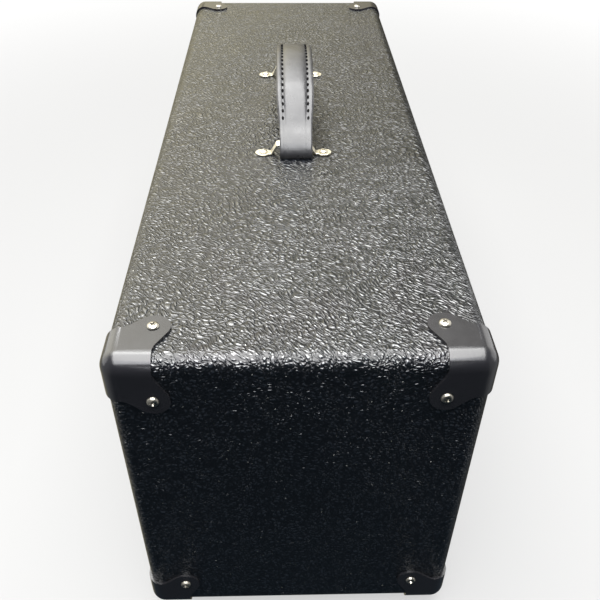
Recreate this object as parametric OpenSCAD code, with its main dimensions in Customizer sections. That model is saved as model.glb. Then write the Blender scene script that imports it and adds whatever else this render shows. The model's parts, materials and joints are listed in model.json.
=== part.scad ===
// Guitar amplifier head in a covered plywood cabinet, with a strap handle on top.
// X runs along the cabinet, the front with the controls faces -Y, and +Z is up.
// The origin is on the floor under the middle of the cabinet. Sizes are in millimetres.

/* [Cabinet] */
// Outer length of the covered cabinet
cab_l = 715; // [600:1:800]
// Outer depth of the covered cabinet, front to rear
cab_d = 241; // [200:1:300]
// Outer height of the covered cabinet, without its feet
cab_h = 275; // [230:1:320]
// Thickness of the plywood boards
board_t = 18; // [12:1:22]
// Thickness of the vinyl covering
skin_t = 0.8; // [0.5:0.1:1.5]
// Radius of the rounded outer edges
edge_r = 10; // [5:1:15]
// Distance from the middle at which the covering ends inside the openings
wrap_y = 84; // [80:1:100]

/* [Feet] */
// Height of the rubber feet
foot_h = 14; // [8:1:25]
// Radius of a foot where it meets the cabinet
foot_r = 19; // [12:1:25]
// Distance of a foot's centre from the end of the cabinet
foot_in_x = 62; // [45:1:90]
// Distance of a foot's centre from the front or the rear
foot_in_y = 45; // [35:1:60]

/* [Corner caps] */
// Wall thickness of a moulded corner cap
cap_t = 2.2; // [1.5:0.1:3]
// How far a cap reaches along each cabinet edge
cap_reach = 31; // [25:1:40]
// Radius of the rounded lobe around each cap screw
lobe_r = 11; // [8:0.5:14]
// Distance of a cap screw from the front or rear face
lobe_side = 29.2; // [24:0.1:34]
// Distance of a cap screw from the end, top or bottom edge of its own face
lobe_edge = 31.1; // [24:0.1:36]
// Length of straight edge on a cap before its outline turns out to the lobe
cap_straight = 12; // [8:1:16]

/* [Handle] */
// Distance between the screws of the two brackets, along X
handle_span = 181; // [160:1:200]
// Distance of a bracket screw from the middle line of the cabinet
ear_y = 26.3; // [22:0.1:32]
// Height of the handle's crest above the cabinet
handle_rise = 58; // [40:1:65]
// Half the distance over which the arch of the handle spans
arch_half = 97; // [90:1:105]
// Height above the cabinet at which the arch ends
arch_end = 7; // [5:1:12]
// Width of the strap in its middle part
strap_w = 31.6; // [26:0.2:36]
// Width of the strap's end loops
loop_w = 26.8; // [22:0.2:30]
// Thickness of the padded strap
strap_t = 8; // [5:0.5:10]
// How far the strap can be lifted before its loops meet the bars
handle_play = 1.5; // [0.5:0.1:2.5]

/* [Chassis] */
// Half the length of the steel chassis
ch_x = 325; // [280:1:330]
// Front edge of the chassis, where the control panel closes it
ch_y0 = -94; // [-105:1:-85]
// Rear face of the chassis
ch_y1 = 97; // [85:1:105]
// Height of the chassis
ch_h = 78; // [60:1:90]
// Thickness of the chassis steel
ch_t = 1.6; // [1:0.1:2]
// Thickness of the aluminium control panel
panel_t = 3; // [2:0.1:4]
// Height of the control panel
panel_h = 86; // [70:1:95]

/* [Controls] */
// Height of the control row above the floor
ctl_z = 76; // [66:1:84]
// Distance between neighbouring knobs
knob_pitch = 66; // [50:1:70]
// Radius of a knob's grip
knob_r = 10.2; // [8:0.1:12]
// Radius of a potentiometer shaft
shaft_r = 3; // [2.5:0.1:3.5]
// Radius of a jack socket's bore
jack_bore = 3.2; // [3.15:0.01:3.4]
// Angle of a rocker switch from its middle position
rocker_tilt = 9; // [5:1:12]

/* [Inside] */
// Radius of a power valve's glass
valve_r = 15.8; // [12:0.1:18]
// Height of a power valve's glass
valve_h = 82; // [60:1:95]
// Radius of a preamp valve's glass
small_valve_r = 10.8; // [9:0.1:12]
// Height of a preamp valve's glass
small_valve_h = 50; // [40:1:60]

/* [Hidden] */
z0 = foot_h;
zt = foot_h + cab_h;
zm = foot_h + cab_h / 2;
in_x = cab_l / 2 - skin_t - board_t;
in_z0 = z0 + skin_t + board_t;
in_z1 = zt - skin_t - board_t;
ch_z0 = in_z0 + 0.2;
ch_z1 = ch_z0 + ch_h;
face_y = ch_y0 - panel_t;
foot_x = cab_l / 2 - foot_in_x;
foot_y = cab_d / 2 - foot_in_y;
screw_y = cab_d / 2 - lobe_side;
screw_x = cab_l / 2 - lobe_edge;
bolt_x = ch_x - 10;
bolt_y = 35;
ear_x = handle_span / 2;
rise = handle_rise - arch_end;
arch_r = (arch_half * arch_half + rise * rise) / (2 * rise);
arch_z = zt + handle_rise - arch_r;
strap_y = -1;
bar_z = zt + 10;
bar_x = ear_x + 1;
bar_tilt = 32;
knob_x = [for (i = [0:5]) (i - 2.5) * knob_pitch];
jack_front_x = [-300, -262];
jack_rear_x = [-150, 75, 115];
rear_z = 72;
button_x = -215;
lamp_x = 222;
standby_x = 262;
power_x = 302;
inlet_x = 284;
fuse_x = 238;
selector_x = 165;
power_valve_x = [-72, -24, 24, 72];
power_valve_y = 40;
small_valve_x = [-268, -223, -178, -133];
small_valve_y = 48;
can_x = [-60, 0, 60];
can_y = -45;
mains_x = 258;
output_x = 150;
choke_x = -150;
choke_y = -35;
board_z = ch_z1 - 26;
baffle_z0 = ch_z0 + panel_h + 1.6;
baffle_z1 = in_z1 - 1.8;
baffle_y = -100;
baffle_t = 12;
grille_y = 100;
grille_z0 = ch_z1 + 4;
round_n = 8;
$fn = 48;

// ---- shapes shared by several pieces ----

// points of a rectangle a by b with rounded corners
function rounded_pts(a, b, r) = [
  for (c = [0:3])
    for (i = [0:round_n])
      [((c == 0 || c == 3) ? 1 : -1) * (a / 2 - r) + r * cos(c * 90 + i * 90 / round_n),
       (c < 2 ? 1 : -1) * (b / 2 - r) + r * sin(c * 90 + i * 90 / round_n)]
];

// the point where a line from p touches a circle, on its left (+1) or right (-1)
function touch(p, c, r, side) =
  let (d = norm(c - p), a = atan2(c[1] - p[1], c[0] - p[0]) + side * asin(r / d), m = sqrt(d * d - r * r))
  [p[0] + m * cos(a), p[1] + m * sin(a)];

module rounded_box(l, d, h, r) {
  translate([0, 0, zm])
  intersection() {
    linear_extrude(height = h, center = true) polygon(rounded_pts(l, d, r));
    rotate([90, 0, 0]) linear_extrude(height = d, center = true) polygon(rounded_pts(l, h, r));
    rotate([90, 0, 90]) linear_extrude(height = l, center = true) polygon(rounded_pts(d, h, r));
  }
}

// a box given by its low and high corners
module span(lo, hi) {
  translate(lo) cube([hi[0] - lo[0], hi[1] - lo[1], hi[2] - lo[2]]);
}

// a cylinder along Y from y0 to y1
module rod_y(r, y0, y1) {
  translate([0, y1, 0]) rotate([90, 0, 0]) cylinder(r = r, h = y1 - y0);
}

// a six-sided nut along Y
module nut_y(r, y0, y1) {
  translate([0, y1, 0]) rotate([90, 0, 0]) cylinder(r = r, h = y1 - y0, $fn = 6);
}

// a pan-head screw: the head stands on z = 0 and the shank points down
module pan_screw(head_r, head_h, shank_r, shank_l) {
  cylinder(r1 = head_r, r2 = head_r * 0.8, h = head_h);
  translate([0, 0, -shank_l]) cylinder(r = shank_r, h = shank_l);
}

module mirror_x(both) {
  for (s = both) mirror([s < 0 ? 1 : 0, 0, 0]) children();
}

module each_corner() {
  for (sx = [-1, 1]) for (sy = [-1, 1]) for (sz = [-1, 1])
    translate([0, 0, zm])
    mirror([sx < 0 ? 1 : 0, 0, 0])
    mirror([0, sy < 0 ? 1 : 0, 0])
    mirror([0, 0, sz < 0 ? 1 : 0])
    translate([0, 0, -zm])
    children();
}

// moves a control to the front panel or to the rear wall, where its outward side is -Y
module on_front(x, z) {
  translate([x, face_y, z]) children();
}

module on_rear(x, z) {
  translate([x, ch_y1, z]) rotate([0, 0, 180]) children();
}

// holes for the screws of the caps, the brackets, the feet and the chassis
module cabinet_holes(r) {
  each_corner() {
    translate([screw_x, screw_y, zt - 16]) cylinder(r = r, h = 20);
    translate([cab_l / 2 - 16, screw_y, zt - lobe_edge]) rotate([0, 90, 0]) cylinder(r = r, h = 20);
  }
  for (sx = [-1, 1]) for (sy = [-1, 1]) {
    translate([sx * ear_x, sy * ear_y, zt - 16]) cylinder(r = r, h = 20);
    translate([sx * foot_x, sy * foot_y, z0 - 2]) cylinder(r = r, h = 18);
    translate([sx * bolt_x, sy * bolt_y, z0 - 2]) cylinder(r = 3.1, h = board_t + 4);
  }
}

// ---- cabinet ----

// the joined boards, rebated at the front and rear where the covering is turned inside
module core_box() {
  difference() {
    rounded_box(cab_l - 2 * skin_t, cab_d - 2 * skin_t, cab_h - 2 * skin_t, edge_r - skin_t);
    for (s = [-1, 1]) mirror([0, s < 0 ? 1 : 0, 0])
      span([-in_x - skin_t, wrap_y, in_z0 - skin_t], [in_x + skin_t, cab_d, in_z1 + skin_t]);
  }
}

module top_panel() {
  color([0.62, 0.48, 0.32])
  difference() {
    intersection() {
      core_box();
      span([-cab_l, -cab_d, in_z1], [cab_l, cab_d, zt + 1]);
    }
    cabinet_holes(1.9);
  }
}

module bottom_panel() {
  color([0.62, 0.48, 0.32])
  difference() {
    intersection() {
      core_box();
      span([-cab_l, -cab_d, z0 - 1], [cab_l, cab_d, in_z0]);
    }
    cabinet_holes(1.9);
  }
}

module end_panel(s) {
  color([0.62, 0.48, 0.32])
  difference() {
    intersection() {
      core_box();
      mirror_x([s]) span([in_x, -cab_d, in_z0], [cab_l, cab_d, in_z1]);
    }
    cabinet_holes(1.9);
  }
}

module vinyl_covering() {
  color([0.05, 0.05, 0.06])
  difference() {
    rounded_box(cab_l, cab_d, cab_h, edge_r);
    core_box();
    span([-in_x, -cab_d, in_z0], [in_x, cab_d, in_z1]);
    cabinet_holes(1.9);
  }
}

// outline of one lobe, measured from the two edges that it lies between
module lobe_outline(c) {
  a = [cap_straight, cap_reach];
  b = [cap_reach, cap_straight];
  polygon([[0, 0], [0, cap_reach], a, touch(a, c, lobe_r, 1), c, touch(b, c, lobe_r, -1), b, [cap_reach, 0]]);
  translate(c) circle(r = lobe_r);
}

module cap_region() {
  // square part that wraps the corner itself
  span([cab_l / 2 - cap_reach, cab_d / 2 - cap_reach, zt - cap_reach], [cab_l, cab_d, zt + 9]);
  // lobe on the top or bottom face
  translate([cab_l / 2, cab_d / 2, zt - edge_r])
  mirror([1, 0, 0]) mirror([0, 1, 0])
  linear_extrude(height = edge_r + 9) lobe_outline([lobe_edge, lobe_side]);
  // lobe on the end face
  translate([cab_l / 2 - edge_r, cab_d / 2, zt])
  rotate([90, 0, 90])
  mirror([1, 0, 0]) mirror([0, 1, 0])
  linear_extrude(height = edge_r + 9) lobe_outline([lobe_side, lobe_edge]);
}

module corner_caps() {
  color([0.06, 0.06, 0.06])
  difference() {
    intersection() {
      rounded_box(cab_l + 2 * cap_t, cab_d + 2 * cap_t, cab_h + 2 * cap_t, edge_r + cap_t);
      each_corner() cap_region();
    }
    rounded_box(cab_l, cab_d, cab_h, edge_r);
    span([-in_x, -cab_d, in_z0], [in_x, cab_d, in_z1]);
    cabinet_holes(2);
  }
}

module cap_screws() {
  color([0.75, 0.75, 0.73])
  each_corner() {
    translate([screw_x, screw_y, zt + cap_t]) pan_screw(4, 2.2, 1.8, 16);
    translate([cab_l / 2 + cap_t, screw_y, zt - lobe_edge]) rotate([0, 90, 0]) pan_screw(4, 2.2, 1.8, 16);
  }
}

module rubber_feet() {
  color([0.08, 0.08, 0.08])
  for (sx = [-1, 1]) for (sy = [-1, 1])
    translate([sx * foot_x, sy * foot_y, 0])
    difference() {
      cylinder(r1 = foot_r - 3, r2 = foot_r, h = foot_h);
      translate([0, 0, -1]) cylinder(r = 8, h = 9);
      translate([0, 0, 7]) cylinder(r = 2.6, h = foot_h);
    }
}

module foot_screws() {
  color([0.7, 0.7, 0.7])
  for (sx = [-1, 1]) for (sy = [-1, 1])
    translate([sx * foot_x, sy * foot_y, 8]) mirror([0, 0, 1]) pan_screw(5, 2.5, 1.8, 18);
}

// ---- handle ----

// the arched band between two radii, cut off where its end loops begin
module arch_band(r_in, r_out, w, half_angle) {
  translate([0, strap_y, arch_z])
  rotate([90, 0, 0])
  intersection() {
    difference() {
      cylinder(r = r_out, h = w, center = true, $fn = 128);
      cylinder(r = r_in, h = w + 2, center = true, $fn = 128);
    }
    linear_extrude(height = w + 4, center = true)
    polygon([[0, 0], [300 * sin(half_angle), 300 * cos(half_angle)], [-300 * sin(half_angle), 300 * cos(half_angle)]]);
  }
}

// the thicker end of the strap, folded round the bar of its bracket
module strap_end() {
  hull() {
    translate([arch_half - 1, 0, zt + 7]) rotate([90, 0, 0]) cylinder(r = 6.3, h = loop_w, center = true, $fn = 32);
    translate([ear_x - 8.5, 0, zt + 17.2]) rotate([90, 0, 0]) cylinder(r = 5.2, h = loop_w, center = true, $fn = 32);
  }
}

module bar_slot() {
  translate([bar_x - 0.4, 0, bar_z - 0.6])
  rotate([0, bar_tilt, 0])
  cube([12.8, loop_w + 2, 3.8], center = true);
}

module handle_strap() {
  color([0.04, 0.04, 0.045])
  difference() {
    union() {
      arch_band(arch_r - strap_t, arch_r, strap_w, 44);
      translate([0, strap_y, 0]) mirror_x([-1, 1]) strap_end();
      arch_band(arch_r - strap_t, arch_r, loop_w, 50);
    }
    arch_band(arch_r - strap_t / 2 - 0.5, arch_r - strap_t / 2 + 0.5, 20, 38);
    translate([0, strap_y, 0]) mirror_x([-1, 1]) bar_slot();
  }
}

module handle_core() {
  color([0.5, 0.52, 0.55])
  arch_band(arch_r - strap_t / 2 - 0.5, arch_r - strap_t / 2 + 0.5, 20, 38);
}

// one ear of a bracket with its rising arm, on the +Y side
module bracket_ear() {
  difference() {
    union() {
      translate([ear_x, ear_y, zt]) cylinder(r = 5.2, h = 1.6);
      translate([ear_x - 5.2, ear_y - 6, zt]) cube([10.4, 6, 1.6]);
      translate([ear_x - 4.5, 0, zt])
      rotate([90, 0, 90])
      linear_extrude(height = 9)
      polygon([[22.5, 0], [22.5, 1.6], [18.4, 11.2], [14.8, 11.2], [14.8, 8.6], [17, 8.6], [20.4, 0]]);
      translate([ear_x, ear_y + 3.6, zt]) cylinder(r = 3.4, h = 1.6);
    }
    translate([ear_x, ear_y, zt - 1]) cylinder(r = 2.2, h = 4);
  }
}

module handle_brackets() {
  color([0.8, 0.79, 0.75])
  mirror_x([-1, 1]) {
    bracket_ear();
    mirror([0, 1, 0]) bracket_ear();
    translate([bar_x, 0, bar_z]) rotate([0, bar_tilt, 0]) cube([9.6, 31.2, 1.8], center = true);
  }
}

module handle_screws() {
  color([0.78, 0.77, 0.74])
  for (sx = [-1, 1]) for (sy = [-1, 1])
    translate([sx * ear_x, sy * ear_y, zt + 1.6]) pan_screw(3.9, 2, 1.8, 16);
}

// ---- front and rear panels ----

module baffle_board() {
  color([0.6, 0.47, 0.32])
  span([-in_x + 3.7, baffle_y, baffle_z0], [in_x - 3.7, baffle_y + baffle_t, baffle_z1 - 1.2]);
}

module grille_cloth() {
  color([0.09, 0.09, 0.09])
  difference() {
    span([-in_x + 2.5, baffle_y - 1.2, baffle_z0 - 1.2], [in_x - 2.5, baffle_y + baffle_t, baffle_z1]);
    span([-in_x + 3.7, baffle_y, baffle_z0], [in_x - 3.7, baffle_y + baffle_t + 1, baffle_z1 - 1.2]);
  }
}

module grille_piping() {
  px = in_x - 6;
  pz0 = baffle_z0 + 3;
  pz1 = baffle_z1 - 4;
  py = baffle_y - 1.2 - 2.4;
  color([0.75, 0.74, 0.7])
  union() {
    for (z = [pz0, pz1]) translate([-px, py, z]) rotate([0, 90, 0]) cylinder(r = 2.4, h = 2 * px);
    for (s = [-1, 1]) translate([s * px, py, pz0]) cylinder(r = 2.4, h = pz1 - pz0);
    for (s = [-1, 1]) for (z = [pz0, pz1]) translate([s * px, py, z]) sphere(r = 2.4);
  }
}

module panel_cleats() {
  color([0.66, 0.52, 0.36])
  mirror_x([-1, 1]) {
    span([in_x - 20, baffle_y + baffle_t, baffle_z0 + 2], [in_x, baffle_y + baffle_t + 20, in_z1 - 1]);
    difference() {
      span([in_x - 20, grille_y - 20, grille_z0 + 2], [in_x, grille_y, in_z1 - 1]);
      for (z = [grille_z0 + 12, in_z1 - 12]) translate([in_x - 9, grille_y, z]) rod_y(1.9, -14, 1);
    }
  }
}

module rear_grille() {
  w = 6;
  h = 54;
  color([0.1, 0.1, 0.1])
  difference() {
    span([-in_x + 2, grille_y, grille_z0], [in_x - 2, grille_y + ch_t, in_z1 - 1.5]);
    for (i = [-15:15]) for (k = [0, 1])
      span([i * 19 - w / 2, grille_y - 1, grille_z0 + 15 + k * 66], [i * 19 + w / 2, grille_y + 3, grille_z0 + 15 + k * 66 + h]);
    mirror_x([-1, 1]) for (z = [grille_z0 + 12, in_z1 - 12])
      translate([in_x - 9, grille_y, z]) rod_y(2.2, -1, 3);
  }
}

module grille_screws() {
  color([0.15, 0.15, 0.15])
  mirror_x([-1, 1]) for (z = [grille_z0 + 12, in_z1 - 12])
    translate([in_x - 9, grille_y + ch_t, z]) rotate([-90, 0, 0]) pan_screw(4, 2.2, 1.8, 14);
}

// ---- chassis ----

// cut-outs through the control panel, and below through the rear wall
module front_cutouts() {
  for (x = knob_x) on_front(x, ctl_z) rod_y(4.8, -1, 5);
  for (x = jack_front_x) on_front(x, ctl_z) rod_y(5.5, -1, 5);
  on_front(button_x, ctl_z) rod_y(6.5, -1, 5);
  on_front(lamp_x, ctl_z) rod_y(7.5, -1, 5);
  for (x = [standby_x, power_x]) on_front(x, ctl_z) span([-7, -1, -14.1], [7, 5, 14.1]);
}

module rear_cutouts() {
  for (x = jack_rear_x) on_rear(x, rear_z) rod_y(5.5, -1, 3);
  on_rear(fuse_x, rear_z) rod_y(7.5, -1, 3);
  on_rear(selector_x, rear_z) rod_y(4.8, -1, 3);
  on_rear(inlet_x, rear_z) span([-23, -1, -50], [23, 3, 50]);
}

module socket_holes() {
  for (x = power_valve_x) translate([x, power_valve_y, ch_z1 - 3]) cylinder(r = 14.2, h = 5);
  for (x = small_valve_x) translate([x, small_valve_y, ch_z1 - 3]) cylinder(r = 9.5, h = 5);
}

module chassis() {
  color([0.68, 0.69, 0.7])
  difference() {
    union() {
      difference() {
        span([-ch_x, ch_y0, ch_z0], [ch_x, ch_y1 - ch_t, ch_z1]);
        span([-ch_x + ch_t, ch_y0 - 1, ch_z0 - 1], [ch_x - ch_t, ch_y1, ch_z1 - ch_t]);
      }
      for (s = [-1, 1]) span([s * bolt_x - 9, ch_y0 + 1, ch_z0], [s * bolt_x + 9, ch_y1 - ch_t - 1, ch_z0 + ch_t]);
    }
    socket_holes();
    for (sx = [-1, 1]) for (sy = [-1, 1]) translate([sx * bolt_x, sy * bolt_y, ch_z0 - 1]) cylinder(r = 3.1, h = 4);
  }
}

module rear_wall() {
  color([0.1, 0.1, 0.1])
  difference() {
    span([-ch_x, ch_y1 - ch_t, ch_z0], [ch_x, ch_y1, ch_z1]);
    rear_cutouts();
  }
}

module chassis_bolts() {
  color([0.72, 0.72, 0.72])
  for (sx = [-1, 1]) for (sy = [-1, 1]) translate([sx * bolt_x, sy * bolt_y, z0]) {
    mirror([0, 0, 1]) cylinder(r1 = 6.5, r2 = 5, h = 3.5);
    cylinder(r = 3, h = ch_z0 - z0 + ch_t + 6);
    translate([0, 0, ch_z0 - z0 + ch_t]) cylinder(r = 5.8, h = 4.5, $fn = 6);
  }
}

module control_panel() {
  color([0.72, 0.72, 0.7])
  difference() {
    span([-in_x + 1, face_y, ch_z0], [in_x - 1, ch_y0, ch_z0 + panel_h]);
    front_cutouts();
  }
}

// ---- controls: each is drawn with the outer face of its panel at y = 0 ----

module potentiometer(wall) {
  difference() {
    union() {
      rod_y(4.7, -4, wall);
      nut_y(6.6, -2.2, 0);
      rod_y(11.5, wall, wall + 10);
    }
    rod_y(shaft_r + 0.05, -5, wall + 7);
  }
}

module potentiometers() {
  color([0.6, 0.6, 0.6])
  for (x = knob_x) on_front(x, ctl_z) potentiometer(panel_t);
}

module knob_shape(r, h, wall) {
  difference() {
    union() {
      rod_y(r + 2.3, -4.5 - 2.5, -4.5);
      translate([0, -4.5 - 2.5, 0]) rotate([90, 0, 0]) cylinder(r1 = r, r2 = r * 0.93, h = h - 2.5);
    }
    span([-0.6, -5.5 - h, r * 0.35], [0.6, -4 - h, r + 3]);
  }
  rod_y(shaft_r, -4.5, wall + 6.5);
}

module knob(n) {
  color([0.07, 0.07, 0.07])
  on_front(knob_x[n], ctl_z) knob_shape(knob_r, 16, panel_t);
}

module jack(wall) {
  difference() {
    union() {
      rod_y(5.4, -5, wall);
      nut_y(8, -2.4, 0);
      span([-8.5, wall, -10], [8.5, wall + 24, 12]);
    }
    rod_y(jack_bore, -6, wall + 21);
  }
}

module jack_sockets() {
  color([0.12, 0.12, 0.12])
  union() {
    for (x = jack_front_x) on_front(x, ctl_z) jack(panel_t);
    for (x = jack_rear_x) on_rear(x, rear_z) jack(ch_t);
  }
}

module rocker_frame() {
  difference() {
    union() {
      span([-8, -1.6, -15.5], [8, 0, 15.5]);
      span([-6.8, 0, -13.9], [6.8, 24, 13.9]);
    }
    span([-5.4, -2, -13.3], [5.4, 20, 13.3]);
    translate([-6.4, 3, 0]) rotate([0, 90, 0]) cylinder(r = 1.26, h = 12.8);
  }
}

module switch_frames() {
  color([0.1, 0.1, 0.1])
  for (x = [standby_x, power_x]) on_front(x, ctl_z) rocker_frame();
}

module rocker(x) {
  color([0.05, 0.05, 0.05])
  on_front(x, ctl_z)
  translate([0, 3, 0])
  rotate([rocker_tilt, 0, 0]) {
    rotate([90, 0, 90])
    linear_extrude(height = 10.2, center = true)
    polygon([[-5.5, 11.6], [-3.2, 0], [-5.5, -11.6], [1, -12], [5, -5], [5, 5], [1, 12]]);
    translate([-6.2, 0, 0]) rotate([0, 90, 0]) cylinder(r = 1.2, h = 12.4);
  }
}

module lamp_bezel() {
  color([0.8, 0.8, 0.8])
  on_front(lamp_x, ctl_z)
  difference() {
    union() {
      rod_y(9, -3, 0);
      rod_y(7.4, 0, panel_t + 14);
    }
    rod_y(6, -4, panel_t + 11);
  }
}

module lamp_jewel() {
  color([0.75, 0.05, 0.05, 0.6])
  on_front(lamp_x, ctl_z) {
    rod_y(5.9, -3, panel_t + 4);
    translate([0, -3, 0]) rotate([90, 0, 0]) cylinder(r1 = 5.9, r2 = 3.2, h = 3.2, $fn = 8);
  }
}

module button_switch() {
  color([0.12, 0.12, 0.12])
  on_front(button_x, ctl_z)
  difference() {
    union() {
      rod_y(7.8, -1.5, 0);
      rod_y(6.4, 0, panel_t);
      span([-8, panel_t, -8], [8, panel_t + 18, 8]);
    }
    rod_y(4.58, -2, panel_t + 12);
  }
}

module channel_button() {
  color([0.8, 0.8, 0.78])
  on_front(button_x, ctl_z) rod_y(4.5, -6, panel_t + 7);
}

// the inlet is moulded with the plate that closes the bay in the rear wall
module mains_inlet() {
  color([0.05, 0.05, 0.05])
  on_rear(inlet_x, rear_z)
  difference() {
    union() {
      span([-27, -2, -38], [27, 0, 38]);
      span([-14.5, 0, -10.5], [14.5, 26, 10.5]);
    }
    span([-12, -3, -8], [12, 15, 8]);
  }
}

module inlet_pins() {
  color([0.8, 0.78, 0.7])
  on_rear(inlet_x, rear_z)
  for (p = [[-7, -2], [0, 2.4], [7, -2]]) span([p[0] - 1, 6, p[1] - 2], [p[0] + 1, 15, p[1] + 2]);
}

module fuse_holder() {
  color([0.07, 0.07, 0.07])
  on_rear(fuse_x, rear_z)
  difference() {
    union() {
      rod_y(10, -2, 0);
      rod_y(7.4, 0, 30);
    }
    rod_y(5.56, -3, 26);
  }
}

module fuse_cap() {
  color([0.07, 0.07, 0.07])
  on_rear(fuse_x, rear_z) {
    difference() {
      rod_y(8, -8, -2.3);
      span([-6, -9, -0.8], [6, -6.8, 0.8]);
    }
    rod_y(5.5, -2.3, 20);
  }
}

module selector_switch() {
  color([0.6, 0.6, 0.6])
  on_rear(selector_x, rear_z) potentiometer(ch_t);
}

module selector_knob() {
  color([0.07, 0.07, 0.07])
  on_rear(selector_x, rear_z) knob_shape(7.8, 12, ch_t);
}

// ---- transformers, valves and capacitors on the chassis ----

module mains_core() {
  color([0.16, 0.16, 0.17])
  translate([mains_x, 0, ch_z1]) transformer_core(104, 50, 88);
}

module mains_coil() {
  color([0.72, 0.55, 0.2])
  translate([mains_x, 0, ch_z1]) transformer_coil(104, 50, 88);
}

module output_core() {
  color([0.16, 0.16, 0.17])
  translate([output_x, 0, ch_z1]) transformer_core(88, 40, 74);
}

module output_coil() {
  color([0.72, 0.55, 0.2])
  translate([output_x, 0, ch_z1]) transformer_coil(88, 40, 74);
}

// the windows of a core lie between w/6 and w/3 from its middle plane
module transformer_core(w, s, h) {
  difference() {
    span([-w / 2, -s / 2, 0], [w / 2, s / 2, h]);
    for (m = [-1, 1])
      span([m > 0 ? w / 6 : -w / 3, -s, h / 5], [m > 0 ? w / 3 : -w / 6, s, h * 4 / 5]);
  }
  for (m = [-1, 1])
    span([-w / 2, m > 0 ? s / 2 : -s / 2 - 14, 0], [w / 2, m > 0 ? s / 2 + 14 : -s / 2, 2.5]);
}

module transformer_coil(w, s, h) {
  g = 0.3;
  difference() {
    span([-w / 3 + g, -s / 2 - w / 6, h / 5 + g], [w / 3 - g, s / 2 + w / 6, h * 4 / 5 - g]);
    span([-w / 6 - g, -s / 2 - g, 0], [w / 6 + g, s / 2 + g, h]);
  }
}

module choke() {
  color([0.2, 0.2, 0.2])
  translate([choke_x, choke_y, ch_z1]) {
    transformer_core(60, 26, 50);
    span([-19, -20, 11], [19, 20, 39]);
  }
}

module transformer_bolts() {
  color([0.7, 0.7, 0.7])
  for (t = [[mains_x, 104, 50], [output_x, 88, 40]]) for (sx = [-1, 1]) for (sy = [-1, 1])
    translate([t[0] + sx * (t[1] / 2 - 8), sy * (t[2] / 2 + 8), ch_z1 + 2.5]) cylinder(r = 4, h = 3.5, $fn = 6);
}

// a closed glass bulb with wall thickness t
module bulb(r, h, t) {
  n = 8;
  rotate_extrude()
  polygon(concat(
    [[0, 0], [r, 0]],
    [for (i = [0:n]) [r * cos(90 * i / n), h - r + r * sin(90 * i / n)]],
    [for (i = [n:-1:0]) [(r - t) * cos(90 * i / n), h - r + (r - t) * sin(90 * i / n)]],
    [[r - t, t], [0, t]]
  ));
}

module power_sockets() {
  color([0.85, 0.84, 0.8])
  for (x = power_valve_x) translate([x, power_valve_y, ch_z1])
    difference() {
      union() {
        cylinder(r = 16.5, h = 7);
        translate([0, 0, -12]) cylinder(r = 14, h = 12);
      }
      translate([0, 0, -13]) cylinder(r = 4.2, h = 22);
    }
}

module preamp_sockets() {
  color([0.85, 0.84, 0.8])
  for (x = small_valve_x) translate([x, small_valve_y, ch_z1]) {
    cylinder(r = 11.5, h = 5);
    translate([0, 0, -9]) cylinder(r = 9.3, h = 9);
  }
}

module valve_bases() {
  color([0.2, 0.1, 0.06])
  for (x = power_valve_x) translate([x, power_valve_y, ch_z1 + 7]) {
    cylinder(r = 16.3, h = 14);
    translate([0, 0, -12]) cylinder(r = 4, h = 12);
  }
}

module power_valves() {
  color([0.8, 0.85, 0.9, 0.35])
  for (x = power_valve_x) translate([x, power_valve_y, ch_z1 + 21]) bulb(valve_r, valve_h, 1.2);
}

module preamp_valves() {
  color([0.8, 0.85, 0.9, 0.35])
  for (x = small_valve_x) translate([x, small_valve_y, ch_z1 + 5]) bulb(small_valve_r, small_valve_h, 1);
}

module valve_plates() {
  color([0.35, 0.35, 0.36])
  union() {
    for (x = power_valve_x) translate([x, power_valve_y, ch_z1 + 22.2]) {
      cylinder(r = 3, h = 8);
      translate([-8, -5, 8]) cube([16, 10, 46]);
    }
    for (x = small_valve_x) translate([x, small_valve_y, ch_z1 + 6]) {
      cylinder(r = 2, h = 8);
      translate([-5, -3, 8]) cube([10, 6, 22]);
    }
  }
}

module filter_capacitors() {
  color([0.12, 0.18, 0.35])
  for (x = can_x) translate([x, can_y, ch_z1]) {
    cylinder(r = 17.5, h = 72);
    translate([0, 0, 72]) cylinder(r = 15.5, h = 2);
  }
}

module circuit_board() {
  color([0.1, 0.3, 0.15])
  span([-280, -52, board_z], [190, 56, board_z + 1.6]);
}

module board_pillars() {
  color([0.75, 0.72, 0.6])
  for (x = [-270, -100, 60, 180]) for (y = [-46, 4])
    translate([x, y, board_z + 1.6]) cylinder(r = 3, h = ch_z1 - ch_t - board_z - 1.6);
}

module board_parts() {
  color([0.8, 0.5, 0.15])
  for (i = [0:8]) for (k = [0, 1])
    translate([-262 + i * 50, -40 + k * 62, board_z - (i % 2 == 0 ? 5 : 3)])
    rotate([0, 90, 0]) cylinder(r = i % 2 == 0 ? 5 : 3, h = 24);
}

// ---- assembly ----

top_panel();
bottom_panel();
end_panel(-1);  // end_panel_left
end_panel(1);  // end_panel_right
vinyl_covering();
corner_caps();
cap_screws();
rubber_feet();
foot_screws();
handle_strap();
handle_core();
handle_brackets();
handle_screws();
baffle_board();
grille_cloth();
grille_piping();
panel_cleats();
rear_grille();
grille_screws();
chassis();
chassis_bolts();
rear_wall();
control_panel();
potentiometers();
knob(0);  // knob_1
knob(1);  // knob_2
knob(2);  // knob_3
knob(3);  // knob_4
knob(4);  // knob_5
knob(5);  // knob_6
jack_sockets();
switch_frames();
rocker(standby_x);  // standby_rocker
rocker(power_x);  // power_rocker
lamp_bezel();
lamp_jewel();
button_switch();
channel_button();
mains_inlet();
inlet_pins();
fuse_holder();
fuse_cap();
selector_switch();
selector_knob();
mains_core();
mains_coil();
output_core();
output_coil();
choke();
transformer_bolts();
power_sockets();
preamp_sockets();
valve_bases();
power_valves();
preamp_valves();
valve_plates();
filter_capacitors();
circuit_board();
board_pillars();
board_parts();
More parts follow.
